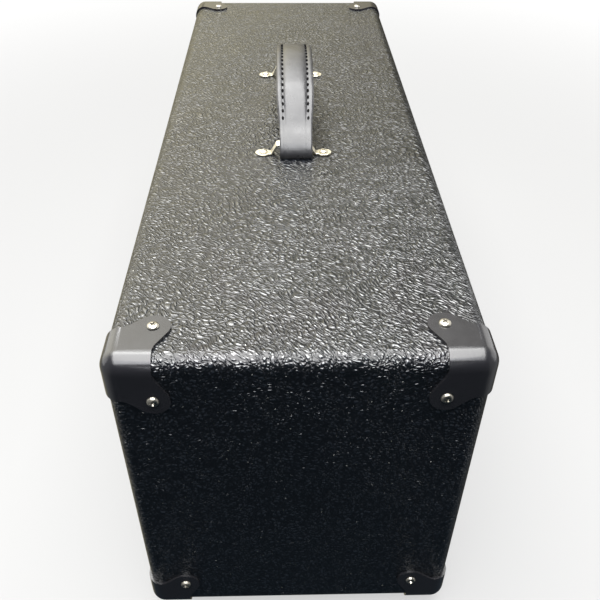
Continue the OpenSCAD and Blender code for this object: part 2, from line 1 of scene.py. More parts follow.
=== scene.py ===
"""A guitar amplifier head in a covered plywood cabinet: strap handle, corner caps, controls, valves.

X runs along the cabinet, the controls face -Y, +Z is up, and lengths are in metres.
"""

import json
import math

import bmesh
import bpy
from mathutils import Matrix, Vector

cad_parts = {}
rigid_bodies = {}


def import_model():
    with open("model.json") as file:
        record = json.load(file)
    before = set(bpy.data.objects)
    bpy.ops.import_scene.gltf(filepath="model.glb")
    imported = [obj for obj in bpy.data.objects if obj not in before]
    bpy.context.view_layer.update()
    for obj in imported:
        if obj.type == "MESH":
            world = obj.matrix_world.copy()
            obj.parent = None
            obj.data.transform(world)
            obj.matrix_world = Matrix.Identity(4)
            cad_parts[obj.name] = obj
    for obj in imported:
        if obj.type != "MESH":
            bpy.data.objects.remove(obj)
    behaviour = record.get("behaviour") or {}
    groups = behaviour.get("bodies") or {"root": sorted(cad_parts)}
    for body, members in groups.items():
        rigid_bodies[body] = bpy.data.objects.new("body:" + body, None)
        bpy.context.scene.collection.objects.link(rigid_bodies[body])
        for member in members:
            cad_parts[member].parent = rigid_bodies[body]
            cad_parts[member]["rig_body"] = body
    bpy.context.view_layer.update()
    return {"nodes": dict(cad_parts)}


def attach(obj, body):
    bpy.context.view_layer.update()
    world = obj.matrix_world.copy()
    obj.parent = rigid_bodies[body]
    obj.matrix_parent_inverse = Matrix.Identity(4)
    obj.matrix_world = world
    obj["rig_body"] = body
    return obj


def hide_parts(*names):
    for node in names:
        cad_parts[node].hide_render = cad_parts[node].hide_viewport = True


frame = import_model()
cad = frame["nodes"]
scene = bpy.context.scene

MM = 0.001

# ---- sizes of the cabinet, in millimetres ----
CAB_L, CAB_D = 715.0, 241.0
CAB_Z0, CAB_Z1 = 14.0, 289.0
EDGE_R = 10.0
RIM = 18.8  # width of the covered board edge around the openings
TURN_IN = 84.0  # distance from the middle at which the covering ends inside
CAP_T = 1.8  # wall of a moulded corner cap
CAP_REACH = 31.0  # how far a cap goes along the cabinet edges
LOBE_FAR, LOBE_NEAR = 31.1, 29.2  # a cap screw's distances from the two nearest edges
FACE_Y = -97.0  # front of the control panel
CTL_Z = 76.0
KNOB_X = [-165, -99, -33, 33, 99, 165]


# ---------------------------------------------------------------- materials

class Finish:
    """A procedural material, built up node by node."""

    def __init__(self, name, colour, rough=0.5, metal=0.0, **more):
        self.mat = bpy.data.materials.new(name)
        self.mat.use_nodes = True
        self.tree = self.mat.node_tree
        self.bsdf = self.tree.nodes["Principled BSDF"]
        self.set(**{"Base Color": (*colour, 1), "Roughness": rough, "Metallic": metal})
        self.set(**more)
        self.place = self.node("ShaderNodeTexCoord").outputs["Object"]

    def set(self, **values):
        for key, value in values.items():
            self.bsdf.inputs[key.replace("_", " ")].default_value = value

    def node(self, kind, **values):
        n = self.tree.nodes.new(kind)
        for key, value in values.items():
            socket = n.inputs.get(key.replace("_", " "))
            if socket is None or (hasattr(n, key) and key.islower()):
                setattr(n, key, value)
            else:
                self.feed(socket, value)
        return n

    def feed(self, socket, value):
        if isinstance(value, bpy.types.NodeSocket):
            self.tree.links.new(value, socket)
        else:
            socket.default_value = value

    def math(self, operation, a, b=0.5):
        n = self.node("ShaderNodeMath", operation=operation)
        self.feed(n.inputs[0], a)
        self.feed(n.inputs[1], b)
        return n.outputs[0]

    def vector(self, operation, a, b=(0, 0, 0)):
        n = self.node("ShaderNodeVectorMath", operation=operation)
        self.feed(n.inputs[0], a)
        if operation == "SCALE":
            self.feed(n.inputs[3], b)
        else:
            self.feed(n.inputs[1], b)
        return n.outputs[0]

    def noise(self, scale, detail=2.0, rough=0.5, place=None, warp=0.0, colour=False):
        n = self.node("ShaderNodeTexNoise")
        self.feed(n.inputs["Vector"], place or self.place)
        n.inputs["Scale"].default_value = scale
        n.inputs["Detail"].default_value = detail
        n.inputs["Roughness"].default_value = rough
        n.inputs["Distortion"].default_value = warp
        return n.outputs["Color" if colour else 0]

    def remap(self, value, lo, hi, to_lo=0.0, to_hi=1.0):
        n = self.node("ShaderNodeMapRange", interpolation_type="SMOOTHSTEP")
        self.feed(n.inputs["Value"], value)
        for key, v in (("From Min", lo), ("From Max", hi), ("To Min", to_lo), ("To Max", to_hi)):
            self.feed(n.inputs[key], v)
        return n.outputs["Result"]

    def blend(self, factor, a, b):
        n = self.node("ShaderNodeMix", data_type="RGBA")
        self.feed(n.inputs[0], factor)
        for socket, value in ((n.inputs[6], a), (n.inputs[7], b)):
            self.feed(socket, (*value, 1) if isinstance(value, tuple) else value)
        return n.outputs[2]

    def bump(self, height, depth, under=None):
        n = self.node("ShaderNodeBump")
        n.inputs["Strength"].default_value = 1.0
        n.inputs["Distance"].default_value = depth
        self.feed(n.inputs["Height"], height)
        if under is not None:
            self.feed(n.inputs["Normal"], under)
        return n.outputs["Normal"]

    def use(self, **sockets):
        for key, value in sockets.items():
            self.feed(self.bsdf.inputs[key.replace("_", " ")], value)
        return self.mat


def stained(name, colour, rough, metal=0.0, vary=0.15, spots=90.0, grain=0.0, depth=0.00003, **more):
    """A plain surface with slight changes of tone and polish, and if asked a fine grain."""
    f = Finish(name, colour, rough, metal, **more)
    tone = f.noise(spots, 4.0, 0.6)
    low = tuple(c * (1 - vary) for c in colour)
    high = tuple(min(1, c * (1 + vary)) for c in colour)
    polish = f.remap(f.noise(spots * 2.3, 3.0), 0.3, 0.7, rough * 0.88, min(1, rough * 1.12))
    f.use(Base_Color=f.blend(tone, low, high), Roughness=polish)
    if grain:
        f.use(Normal=f.bump(f.noise(grain, 3.0, 0.6), depth))
    return f.mat


def levant(name, colour, rough, deep):
    """Grained vinyl: long wavy branching wrinkles that lie aslant and flow in patches, with painted shade in
    their creases.
    """
    f = Finish(name, colour, rough)

    def swayed(place, scale, amount, detail=1.0):
        sway = f.vector("SUBTRACT", f.noise(scale, detail, 0.5, place=place, colour=True), (0.5, 0.5, 0.5))
        return f.vector("ADD", place, f.vector("SCALE", sway, amount))

    flow = swayed(f.place, 13, 0.022)
    flow = swayed(flow, 70, 0.0065)
    aslant = math.radians(-45)
    flow = f.node("ShaderNodeVectorRotate", rotation_type="Z_AXIS", Vector=flow, Angle=aslant).outputs[0]
    drawn = f.vector("MULTIPLY", flow, (0.42, 1.0, 1.0))
    drawn = swayed(drawn, 380, 0.0011)
    cells = f.node("ShaderNodeTexVoronoi", feature="DISTANCE_TO_EDGE", Vector=drawn, Scale=400.0)
    grain = f.remap(cells.outputs["Distance"], 0.0, 0.42)
    fold = f.math("ABSOLUTE", f.math("SUBTRACT", f.noise(330, 1.0, 0.5, place=drawn), 0.5))
    fold = f.remap(fold, 0.0, 0.17)
    height = f.math("ADD", f.math("MULTIPLY", grain, 0.55), f.math("MULTIPLY", fold, 0.45))
    wear = f.remap(f.noise(9, 3.0), 0.35, 0.7, 0.8, 1.1)
    normal = f.bump(f.noise(55, 2.0), 0.0005)
    normal = f.bump(f.math("MULTIPLY", height, wear), deep, under=normal)
    # this mask falls to 0 in the creases, where the colour is painted darker, down to 0.3 of the vinyl's own,
    # as painted shade
    crease_shade_mask = f.math("MULTIPLY", grain, fold)
    shade = f.blend(f.remap(crease_shade_mask, 0.0, 0.5), tuple(c * 0.3 for c in colour), colour)
    dust = f.remap(f.noise(700, 1.0), 0.79, 0.80)
    shade = f.blend(f.math("MULTIPLY", dust, 0.5), shade, (0.5, 0.5, 0.46))
    polish = f.math("ADD", f.math("MULTIPLY", f.noise(45, 4.0), 0.14), rough - 0.07)
    # the reflection strength (sheen) is also lowered in the creases, as painted shade
    sheen = f.remap(crease_shade_mask, 0.02, 0.42, 0.26, 0.72)
    f.use(Base_Color=shade, Roughness=polish, Normal=normal, Specular_IOR_Level=sheen)
    return f.mat


def strap_vinyl(name, colour, rough):
    """Smooth vinyl over padding, with shallow dents and a faint grain."""
    f = Finish(name, colour, rough)
    f.set(Specular_IOR_Level=0.30)
    soft = f.noise(260, 3.0, 0.55, warp=0.3)
    dent = f.noise(55, 2.0)
    normal = f.bump(dent, 0.0006)
    normal = f.bump(soft, 0.00007, under=normal)
    tone = f.blend(f.noise(120, 3.0), tuple(c * 0.8 for c in colour), tuple(c * 1.3 for c in colour))
    polish = f.remap(f.noise(90, 3.0), 0.3, 0.7, rough * 0.85, rough * 1.2)
    f.use(Base_Color=tone, Normal=normal, Roughness=polish)
    return f.mat


def brushed(name, colour, rough, along=(0.02, 1.0, 1.0), metal=1.0):
    """Metal brushed in one direction."""
    f = Finish(name, colour, rough, metal)
    lines = f.noise(2600, 3.0, 0.7, place=f.vector("MULTIPLY", f.place, along))
    f.use(
        Normal=f.bump(lines, 0.000025),
        Roughness=f.remap(lines, 0.2, 0.8, rough * 0.8, rough * 1.3),
        Base_Color=f.blend(f.noise(12, 2.0), tuple(c * 0.93 for c in colour), colour),
    )
    return f.mat


def plated(name, colour, rough, spots=500.0):
    """Plated metal with faint pits and finger marks."""
    f = Finish(name, colour, rough, 1.0)
    pits = f.noise(spots, 3.0, 0.6)
    f.use(
        Normal=f.bump(pits, 0.00005),
        Roughness=f.remap(f.noise(160, 3.0), 0.3, 0.7, rough * 0.7, rough * 1.5),
        Base_Color=f.blend(f.remap(pits, 0.35, 0.65), tuple(c * 0.8 for c in colour), colour),
    )
    return f.mat


def woven(name, dark, light):
    """Grille cloth: a basket weave of dark threads with a few light ones."""
    f = Finish(name, dark, 0.6)
    place = f.vector("ADD", f.place, f.vector("SCALE", f.noise(300, 1.0, colour=True), 0.00012))
    threads = []
    for axis in ("X", "Z"):
        wave = f.node("ShaderNodeTexWave", wave_type="BANDS", bands_direction=axis, wave_profile="SIN")
        f.feed(wave.inputs["Vector"], place)
        wave.inputs["Scale"].default_value = 210
        threads.append(wave.outputs["Fac"])
    check = f.node("ShaderNodeTexChecker", Vector=place, Scale=660.0)
    over = f.math("MAXIMUM", threads[0], threads[1])
    height = f.math("ADD", f.math("MULTIPLY", over, 0.7), f.math("MULTIPLY", check.outputs["Fac"], 0.3))
    glint = f.remap(f.noise(1500, 2.0, place=f.vector("MULTIPLY", place, (0.5, 1, 1))), 0.56, 0.68)
    tone = f.blend(f.math("MULTIPLY", over, 0.8), tuple(c * 0.3 for c in dark), dark)
    f.use(Base_Color=f.blend(f.math("MULTIPLY", glint, over), tone, light), Normal=f.bump(height, 0.0004))
    return f.mat


def timber(name, light, dark, rough=0.6):
    """Bare wood with its grain along X."""
    f = Finish(name, light, rough)
    drawn = f.vector("MULTIPLY", f.place, (1.0, 9.0, 9.0))
    rings = f.noise(22, 4.0, 0.6, place=drawn, warp=1.2)
    pores = f.noise(300, 2.0, 0.7, place=f.vector("MULTIPLY", f.place, (0.05, 1.0, 1.0)))
    tone = f.blend(f.remap(rings, 0.35, 0.65), light, dark)
    f.use(Base_Color=f.blend(f.remap(pores, 0.6, 0.8, 0, 0.4), tone, dark), Normal=f.bump(pores, 0.0001))
    return f.mat


def layered(name, light, dark, rough, pitch):
    """Stacked laminations: thin plates lying one behind another along Y."""
    f = Finish(name, light, rough, 0.6)
    wave = f.node("ShaderNodeTexWave", wave_type="BANDS", bands_direction="Y", wave_profile="SIN")
    f.feed(wave.inputs["Vector"], f.place)
    wave.inputs["Scale"].default_value = 1.0 / (pitch * 20)
    wave.inputs["Distortion"].default_value = 0.6
    lines = wave.outputs["Fac"]
    f.use(Base_Color=f.blend(lines, dark, light), Normal=f.bump(lines, 0.0002))
    return f.mat


def clear_glass(name, tint):
    """Thin clear glass with a little haze."""
    f = Finish(name, tint, 0.03)
    f.set(**{"Transmission Weight": 0.96, "IOR": 1.47})
    haze = f.remap(f.noise(30, 2.0), 0.4, 0.7, 0.02, 0.08)
    f.use(Roughness=haze, Base_Color=f.blend(f.noise(20, 2.0), tint, (1.0, 1.0, 1.0)))
    return f.mat


def jewel_glass(name, tint):
    """A coloured lens with a polished coat."""
    f = Finish(name, tint, 0.08)
    f.set(**{"Transmission Weight": 0.75, "IOR": 1.5, "Coat Weight": 0.5})
    f.use(Base_Color=f.blend(f.noise(260, 2.0), tint, tuple(c * 0.6 for c in tint)))
    return f.mat


COVERING = levant("black_levant_vinyl", (0.006, 0.007, 0.009), 0.22, 0.00065)
CAP = stained("moulded_cap_plastic", (0.006, 0.006, 0.007), 0.22, vary=0.2, spots=60, grain=900,
              Specular_IOR_Level=0.33)
STRAP = strap_vinyl("strap_vinyl", (0.012, 0.012, 0.013), 0.3)
THREAD = stained("black_thread", (0.003, 0.003, 0.003), 0.85, vary=0.3, spots=900, Specular_IOR_Level=0.0)
NICKEL = plated("dull_nickel", (0.36, 0.335, 0.265), 0.38)
STEEL_SCREW = plated("plated_screw", (0.27, 0.255, 0.22), 0.36)
BLACK_SCREW = stained("blackened_screw", (0.03, 0.03, 0.03), 0.35, metal=0.6, grain=900)
RUBBER = stained("black_rubber", (0.02, 0.02, 0.021), 0.75, grain=700, depth=0.00006)
PLY = timber("plywood", (0.62, 0.44, 0.26), (0.4, 0.25, 0.13))
PINE = timber("pine", (0.7, 0.52, 0.31), (0.5, 0.32, 0.16))
CLOTH = woven("grille_cloth_weave", (0.03, 0.03, 0.032), (0.24, 0.24, 0.23))
PIPING = stained("white_piping", (0.62, 0.61, 0.57), 0.4, vary=0.08, grain=500)
BLACK_STEEL = stained("black_painted_steel", (0.022, 0.022, 0.023), 0.42, vary=0.2, grain=1500, depth=0.00004)
PANEL = brushed("brushed_aluminium", (0.72, 0.72, 0.7), 0.3)
PRINT = stained("black_print", (0.01, 0.01, 0.01), 0.5, vary=0.1)
ZINC = plated("zinc_steel", (0.66, 0.67, 0.69), 0.36, 120)
BLACK_PLASTIC = stained("black_plastic", (0.02, 0.02, 0.02), 0.38, vary=0.2, grain=1200)
GLOSS_BLACK = stained("gloss_black_plastic", (0.012, 0.012, 0.012), 0.16, vary=0.2)
KNOB = stained("knob_phenolic", (0.015, 0.015, 0.016), 0.24, vary=0.2)
WHITE_INLAY = stained("white_inlay", (0.8, 0.8, 0.77), 0.4, vary=0.05)
GREY_PLASTIC = stained("grey_plastic", (0.5, 0.5, 0.48), 0.4, vary=0.08, grain=1200)
CHROME = plated("chrome", (0.88, 0.88, 0.89), 0.08, 80)
JEWEL = jewel_glass("red_jewel", (0.75, 0.02, 0.02))
BRASS = plated("brass", (0.83, 0.64, 0.3), 0.3)
CORE_STEEL = layered("core_laminations", (0.16, 0.16, 0.17), (0.03, 0.03, 0.03), 0.5, 0.001)
WINDING = layered("coil_paper", (0.6, 0.38, 0.1), (0.34, 0.2, 0.05), 0.5, 0.002)
CERAMIC = stained("white_ceramic", (0.78, 0.77, 0.72), 0.35, vary=0.06)
BAKELITE = stained("brown_bakelite", (0.09, 0.035, 0.018), 0.25, vary=0.25)
GLASS = clear_glass("valve_glass", (0.93, 0.95, 0.96))
PLATE_METAL = stained("valve_plate", (0.14, 0.14, 0.15), 0.45, metal=0.8, vary=0.3, spots=200)
SLEEVE = stained("capacitor_sleeve", (0.02, 0.05, 0.16), 0.3, vary=0.15)
BOARD = stained("circuit_board_green", (0.02, 0.14, 0.05), 0.35, vary=0.2, spots=200)
PART_BODY = stained("component_orange", (0.62, 0.2, 0.03), 0.35, vary=0.2)


# ---------------------------------------------------------------- shaping

def shade(mesh, sharp):
    """Smooth shading with hard edges kept; faces that lie square to an axis stay flat."""
    old = mesh.attributes.get("custom_normal")
    if old:
        mesh.attributes.remove(old)
    mesh.set_sharp_from_angle(angle=math.radians(sharp))
    curved = [max(abs(c) for c in face.normal) < 0.99995 for face in mesh.polygons]
    mesh.polygons.foreach_set("use_smooth", curved)


def finish_mesh(bm, name, material, body="cabinet", replaces=(), sharp=35.0):
    """Turns a bmesh into a piece that rides on a body."""
    bmesh.ops.recalc_face_normals(bm, faces=bm.faces)
    mesh = bpy.data.meshes.new(name)
    bm.to_mesh(mesh)
    bm.free()
    shade(mesh, sharp)
    mesh.materials.clear()
    mesh.materials.append(material)
    ob = bpy.data.objects.new(name, mesh)
    scene.collection.objects.link(ob)
    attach(ob, body)
    if replaces:
        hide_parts(*replaces)
    return ob


def scaled_box(bm, lo, hi):
    """A box between two corners in millimetres; returns its vertices."""
    made = bmesh.ops.create_cube(bm, size=1.0)["verts"]
    lo, hi = Vector(lo) * MM, Vector(hi) * MM
    bmesh.ops.scale(bm, verts=made, vec=hi - lo)
    bmesh.ops.translate(bm, verts=made, vec=(lo + hi) / 2)
    return made


def edges_of(verts):
    return list({e for v in verts for e in v.link_edges})


def soften_edges(bm, width, segments=2, angle=30.0):
    """Rounds the edges that are sharper than the angle."""
    chosen = [e for e in bm.edges if len(e.link_faces) == 2 and e.calc_face_angle(0) > math.radians(angle)]
    if chosen:
        bmesh.ops.bevel(
            bm, geom=chosen, offset=width * MM, offset_type="OFFSET", segments=segments,
            profile=0.5, affect="EDGES", clamp_overlap=True, material=-1,
        )


def softened(node, material, width):
    """The CAD node's own shape with its hard edges rounded over."""
    bm = bmesh.new()
    bm.from_mesh(cad[node].data)
    bmesh.ops.remove_doubles(bm, verts=bm.verts, dist=0.000002)
    bmesh.ops.dissolve_limit(bm, angle_limit=math.radians(0.6), verts=bm.verts, edges=bm.edges)
    soften_edges(bm, width)
    return finish_mesh(bm, node + "_made", material, cad[node]["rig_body"], [node])


def lathe(bm, profile, steps=32, centre=(0, 0, 0), axis="Z"):
    """Turns a profile of (radius, height) points round an axis; returns the new vertices."""
    before = set(bm.verts)
    line = [bm.verts.new((r * MM, 0, h * MM)) for r, h in profile]
    edges = [bm.edges.new(pair) for pair in zip(line, line[1:])]
    bmesh.ops.spin(
        bm, geom=line + edges, cent=(0, 0, 0), axis=(0, 0, 1), angle=2 * math.pi,
        steps=steps, use_merge=True, use_duplicate=False,
    )
    made = [v for v in bm.verts if v not in before]
    bmesh.ops.remove_doubles(bm, verts=made, dist=0.000001)
    made = [v for v in bm.verts if v not in before]
    turn = {"Z": Matrix.Identity(4), "-Y": Matrix.Rotation(math.pi / 2, 4, "X")}[axis]
    bmesh.ops.transform(bm, matrix=Matrix.Translation(Vector(centre) * MM) @ turn, verts=made)
    return made


def combine(bm, tool, operation="DIFFERENCE"):
    """The first closed shape less, or shared with, the second; frees both and returns a new bmesh."""
    made = []
    for part in (bm, tool):
        bmesh.ops.recalc_face_normals(part, faces=part.faces)
        mesh = bpy.data.meshes.new("part")
        part.to_mesh(mesh)
        part.free()
        ob = bpy.data.objects.new("part", mesh)
        scene.collection.objects.link(ob)
        made.append(ob)
    step = made[0].modifiers.new("cut", "BOOLEAN")
    step.operation, step.solver, step.object, step.use_self = operation, "EXACT", made[1], True
    graph = bpy.context.evaluated_depsgraph_get()
    graph.update()
    result = bmesh.new()
    result.from_mesh(made[0].evaluated_get(graph).to_mesh())
    for ob in made:
        mesh = ob.data
        bpy.data.objects.remove(ob)
        bpy.data.meshes.remove(mesh)
    return result


def sweep(bm, frames, outline):
    """Extrudes an outline step by step. frames holds (point, along, across, up) and outline(i)
    gives the (across, up) points in millimetres of step i, always as many."""
    def ring(i):
        point, _, across, up = frames[i]
        return [(point + across * a + up * b) * MM for a, b in outline(i)]

    face = bm.faces.new([bm.verts.new(p) for p in ring(0)])
    loop = list(face.verts)
    for i in range(1, len(frames)):
        out = bmesh.ops.extrude_face_region(bm, geom=[face])
        new_face = next(g for g in out["geom"] if isinstance(g, bmesh.types.BMFace))
        order = {}
        for v in loop:
            for e in v.link_edges:
                w = e.other_vert(v)
                if w in new_face.verts:
                    order[v] = w
        loop = [order[v] for v in loop]
        for v, p in zip(loop, ring(i)):
            v.co = p
        face = new_face


def turtle(start, heading, moves):
    """Frames in the XZ plane. Each move is (length, turn in degrees, steps); up is to the left."""
    frames, angle, point = [], math.radians(heading), Vector((start[0], 0, start[1]))

    def frame_here():
        along = Vector((math.cos(angle), 0, math.sin(angle)))
        return (point.copy(), along, Vector((0, 1, 0)), Vector((-along.z, 0, along.x)))

    frames.append(frame_here())
    for length, turn, steps in moves:
        for _ in range(steps):
            half = math.radians(turn) / steps / 2
            angle += half
            chord = length / steps * (math.sin(half) / half if abs(half) > 1e-9 else 1)
            point = point + Vector((math.cos(angle), 0, math.sin(angle))) * chord
            angle += half
            frames.append(frame_here())
    return frames


def ease(x, a, b):
    """Goes smoothly from 0 to 1 while x goes from a to b."""
    t = min(1.0, max(0.0, (x - a) / (b - a)))
    return t * t * (3 - 2 * t)


# ---------------------------------------------------------------- cabinet

def make_covering():
    """The vinyl over the whole box, turned in round the front and rear openings."""
    bm = bmesh.new()
    verts = scaled_box(bm, (-CAB_L / 2, -CAB_D / 2, CAB_Z0), (CAB_L / 2, CAB_D / 2, CAB_Z1))
    bmesh.ops.bevel(bm, geom=edges_of(verts), offset=EDGE_R * MM, segments=10, profile=0.5,
                    affect="EDGES", clamp_overlap=True, material=-1)
    bm.normal_update()
    for side in (-1, 1):
        big = max((f for f in bm.faces if f.normal.y * side > 0.99), key=lambda f: f.calc_area())
        bmesh.ops.inset_region(bm, faces=[big], thickness=(RIM - EDGE_R) * MM, use_even_offset=True)
        out = bmesh.ops.extrude_face_region(bm, geom=[big])
        moved = [g for g in out["geom"] if isinstance(g, bmesh.types.BMVert)]
        inner = [g for g in out["geom"] if isinstance(g, bmesh.types.BMFace)]
        bmesh.ops.translate(bm, verts=moved, vec=(0, -side * (CAB_D / 2 - TURN_IN) * MM, 0))
        bmesh.ops.delete(bm, geom=inner, context="FACES_ONLY")
        if big.is_valid:
            bmesh.ops.delete(bm, geom=[big], context="FACES_ONLY")
        rim = [e for e in bm.edges if len(e.link_faces) == 2
               and all(abs(v.co.y * side - CAB_D / 2 * MM) < 1e-6 for v in e.verts)
               and e.calc_face_angle(0) > 1.2]
        bmesh.ops.bevel(bm, geom=rim, offset=1.6 * MM, segments=4, profile=0.5,
                        affect="EDGES", clamp_overlap=True, material=-1)
    bmesh.ops.recalc_face_normals(bm, faces=bm.faces)
    outward = max(bm.faces, key=lambda f: f.calc_center_median().z)
    if outward.normal.z < 0:
        bmesh.ops.reverse_faces(bm, faces=bm.faces)
    ob = finish_mesh_open(bm, "covering", COVERING, ["vinyl_covering"])
    wall = ob.modifiers.new("thickness", "SOLIDIFY")
    wall.thickness, wall.offset = 0.8 * MM, -1


def finish_mesh_open(bm, name, material, replaces):
    """As finish_mesh, for a sheet whose normals are already right."""
    mesh = bpy.data.meshes.new(name)
    bm.to_mesh(mesh)
    bm.free()
    shade(mesh, 35)
    mesh.materials.append(material)
    ob = bpy.data.objects.new(name, mesh)
    scene.collection.objects.link(ob)
    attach(ob, "cabinet")
    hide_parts(*replaces)
    return ob


def screw_head(radius, height, steps=36):
    """A pan head with a cross recess, standing on z = 0."""
    r, h = radius, height
    bm = bmesh.new()
    lathe(bm, [(0, h), (r * 0.3, h * 0.985), (r * 0.55, h * 0.93), (r * 0.76, h * 0.8), (r * 0.9, h * 0.58),
               (r * 0.98, h * 0.28), (r, 0.1), (r * 0.97, 0), (0, 0)], steps)
    tool = bmesh.new()
    for k in (0, 1):
        wing = scaled_box(tool, (-r * 0.62, -r * 0.15, h * 0.25), (r * 0.62, r * 0.15, h * 1.3))
        low = [v for v in wing if v.co.z < h * 0.6 * MM]
        bmesh.ops.scale(tool, verts=low, vec=(0.45, 0.7, 1))
        quarter = Matrix.Rotation(k * math.pi / 2 + 0.0002 * k, 3, "Z")
        bmesh.ops.rotate(tool, verts=wing, cent=(0, 0, 0), matrix=quarter)
    core = scaled_box(tool, (-r * 0.2, -r * 0.2, h * 0.3), (r * 0.2, r * 0.2, h * 1.31))
    bmesh.ops.rotate(tool, verts=core, cent=(0, 0, 0), matrix=Matrix.Rotation(0.785, 3, "Z"))
    return combine(bm, tool)


def set_screws(name, head, places, material, replaces, body="cabinet"):
    """Copies one head to each place: (point in mm, turn that takes +Z to its own outward side)."""
    bm = bmesh.new()
    mesh = bpy.data.meshes.new("head")
    head.to_mesh(mesh)
    for point, turn in places:
        before = set(bm.verts)
        bm.from_mesh(mesh)
        made = [v for v in bm.verts if v not in before]
        bmesh.ops.transform(bm, matrix=Matrix.Translation(Vector(point) * MM) @ turn, verts=made)
    head.free()
    bpy.data.meshes.remove(mesh)
    return finish_mesh(bm, name, material, body, replaces, sharp=40)


def turned(axis, spin):
    """A turn that takes +Z to the named direction, after spinning the head by some degrees."""
    roll = Matrix.Rotation(math.radians(spin), 4, "Z")
    tip = {"Z": Matrix.Identity(4), "-Z": Matrix.Rotation(math.pi, 4, "X"),
           "X": Matrix.Rotation(math.pi / 2, 4, "Y"), "-X": Matrix.Rotation(-math.pi / 2, 4, "Y"),
           "Y": Matrix.Rotation(-math.pi / 2, 4, "X")}[axis]
    return tip @ roll


def make_cap_screws():
    """Two screws to a cap, one on the long face and one on the end."""
    x, y = CAB_L / 2 - LOBE_FAR, CAB_D / 2 - LOBE_NEAR
    places = []
    for i, (sx, sy) in enumerate(((-1, -1), (-1, 1), (1, -1), (1, 1))):
        for k, sz in enumerate((-1, 1)):
            z = CAB_Z1 + CAP_T if sz > 0 else CAB_Z0 - CAP_T
            places.append(((sx * x, sy * y, z), turned("Z" if sz > 0 else "-Z", 20 + 37 * i + 11 * k)))
            z = CAB_Z1 - LOBE_FAR if sz > 0 else CAB_Z0 + LOBE_FAR
            turn = turned("X" if sx > 0 else "-X", 8 + 53 * i + 29 * k)
            places.append(((sx * (CAB_L / 2 + CAP_T), sy * y, z), turn))
    set_screws("corner_screws", screw_head(4.0, 2.2), places, STEEL_SCREW, ["cap_screws"])


def rounded_solid(grow, radius):
    """The cabinet's own block, grown by some millimetres, with its edges and corners rounded."""
    bm = bmesh.new()
    x, y = CAB_L / 2 + grow, CAB_D / 2 + grow
    verts = scaled_box(bm, (-x, -y, CAB_Z0 - grow), (x, y, CAB_Z1 + grow))
    bmesh.ops.bevel(bm, geom=edges_of(verts), offset=radius * MM, segments=12, profile=0.5,
                    affect="EDGES", clamp_overlap=True, material=-1)
    return bm


def lobe_outline(cx, cy, r=11.0, reach=CAP_REACH, straight=12.0):
    """Outline of a cap on one face, in millimetres from the two edges that it lies between: straight
    along both edges, then two tangents to a round lobe of radius r about (cx, cy)."""
    def touch(px, py, side):
        d = math.hypot(cx - px, cy - py)
        a = math.atan2(cy - py, cx - px) + side * math.asin(r / d)
        m = math.sqrt(d * d - r * r)
        return px + m * math.cos(a), py + m * math.sin(a)

    first, last = touch(straight, reach, 1), touch(reach, straight, -1)
    a0 = math.atan2(first[1] - cy, first[0] - cx)
    a1 = math.atan2(last[1] - cy, last[0] - cx)
    angles = [a0 + (a1 - a0) * k / 20 for k in range(21)]
    arc = [(cx + r * math.cos(a), cy + r * math.sin(a)) for a in angles]
    return [(-9, -9), (-9, reach), (straight, reach), *arc, (reach, straight), (reach, -9)]


def prism(bm, points, lift):
    """A cap's outline given a thickness, with the two inner corners beside its lobe rounded."""
    verts = [bm.verts.new(Vector(p) * MM) for p in points]
    face = bm.faces.new(verts)
    out = bmesh.ops.extrude_face_region(bm, geom=[face])
    moved = [g for g in out["geom"] if isinstance(g, bmesh.types.BMVert)]
    bmesh.ops.translate(bm, verts=moved, vec=Vector(lift) * MM)
    posts = [e for v in (verts[2], verts[-2]) for e in v.link_edges if e.other_vert(v) in moved]
    bmesh.ops.bevel(bm, geom=posts, offset=3.0 * MM, segments=5, profile=0.5,
                    affect="EDGES", clamp_overlap=True, material=-1)


def make_caps():
    """Moulded caps: one is cut from a rounded shell and mirrored to the eight corners."""
    x1, y1, reach = CAB_L / 2, CAB_D / 2, CAP_REACH
    shell = combine(rounded_solid(CAP_T, EDGE_R + CAP_T), rounded_solid(0.0, EDGE_R))
    region = bmesh.new()
    scaled_box(region, (x1 - reach, y1 - reach, CAB_Z1 - reach), (x1 + 9, y1 + 9, CAB_Z1 + 9))
    on_top = [(x1 - u, y1 - v, CAB_Z1 - EDGE_R) for u, v in lobe_outline(LOBE_FAR, LOBE_NEAR)]
    prism(region, on_top, (0, 0, EDGE_R + 9))
    on_end = [(x1 - EDGE_R, y1 - u, CAB_Z1 - v) for u, v in lobe_outline(LOBE_NEAR, LOBE_FAR)]
    prism(region, on_end, (EDGE_R + 9, 0, 0))
    cap = combine(shell, region, "INTERSECT")
    opening = bmesh.new()
    scaled_box(opening, (0, 60, 100), (x1 - RIM, y1 + 20, CAB_Z1 - RIM))
    cap = combine(cap, opening)
    bmesh.ops.remove_doubles(cap, verts=cap.verts, dist=0.000004)
    bmesh.ops.dissolve_limit(cap, angle_limit=math.radians(0.5), verts=cap.verts, edges=cap.edges)
    bmesh.ops.recalc_face_normals(cap, faces=cap.faces)
    soften_edges(cap, 0.6, 3, 50)
    mesh = bpy.data.meshes.new("one_cap")
    cap.to_mesh(mesh)
    cap.free()
    middle = (CAB_Z0 + CAB_Z1) / 2 * MM
    bm = bmesh.new()
    for sx in (-1, 1):
        for sy in (-1, 1):
            for sz in (-1, 1):
                before = set(bm.verts)
                bm.from_mesh(mesh)
                made = [v for v in bm.verts if v not in before]
                flip = Matrix.Diagonal((sx, sy, sz, 1))
                lift = Matrix.Translation((0, 0, middle))
                bmesh.ops.transform(bm, matrix=lift @ flip @ lift.inverted(), verts=made)
    bpy.data.meshes.remove(mesh)
    finish_mesh(bm, "corner_caps_moulded", CAP, "cabinet", ["corner_caps"], sharp=40)


# ---------------------------------------------------------------- handle

